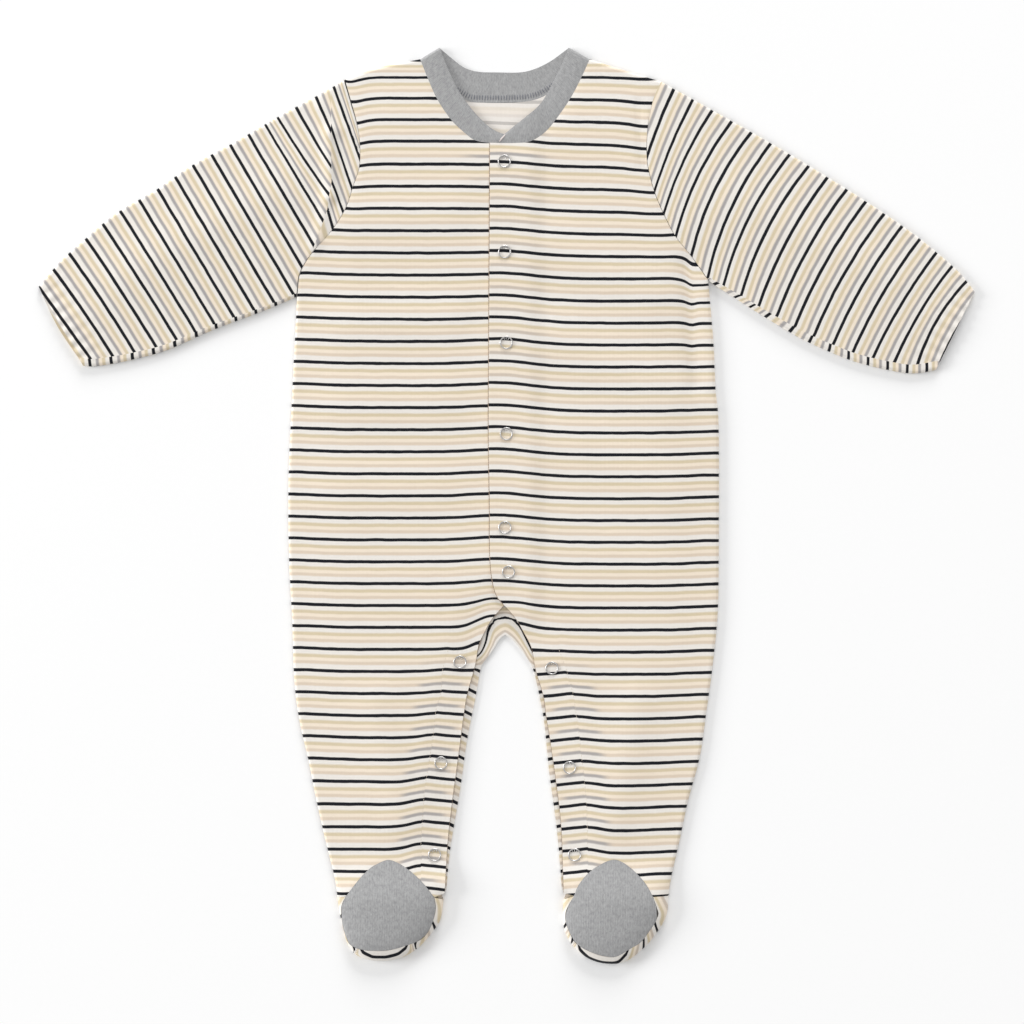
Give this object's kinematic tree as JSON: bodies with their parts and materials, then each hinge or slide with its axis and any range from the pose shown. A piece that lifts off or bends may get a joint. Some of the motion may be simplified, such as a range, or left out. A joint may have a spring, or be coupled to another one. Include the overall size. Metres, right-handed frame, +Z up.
{
  "type": "footed baby sleepsuit",
  "caption": "Long-sleeved footed baby sleepsuit in striped jersey, with grey neckband and toe caps, snapped down the front and inner legs, laid flat on its back.",
  "frame": {"origin": "on the surface the garment lies on, under the middle of its outline", "axes": "+X across the garment towards the wearer's left sleeve, +Y from the toes to the neck, +Z up from the surface"},
  "size_m": [0.6124, 0.5994, 0.0091],
  "materials": {
    "striped_jersey": "fine cotton jersey with narrow navy, white, beige and cream stripes",
    "grey_rib": "heather grey fine rib",
    "snap_metal": "bright nickel-plated ring"
  },
  "bodies": {
    "root": {"back": "striped_jersey", "front_right": "striped_jersey", "front_left": "striped_jersey", "sleeve_right": "striped_jersey", "sleeve_left": "striped_jersey", "neckband": "grey_rib", "toe_cap_right": "grey_rib", "toe_cap_left": "grey_rib", "sole_right": "striped_jersey", "sole_left": "striped_jersey", "snap_front_1": "snap_metal", "snap_front_2": "snap_metal", "snap_front_3": "snap_metal", "snap_front_4": "snap_metal", "snap_front_5": "snap_metal", "snap_front_6": "snap_metal", "snap_leg_right_1": "snap_metal", "snap_leg_right_2": "snap_metal", "snap_leg_right_3": "snap_metal", "snap_leg_left_1": "snap_metal", "snap_leg_left_2": "snap_metal", "snap_leg_left_3": "snap_metal"}
  },
  "joints": []
}
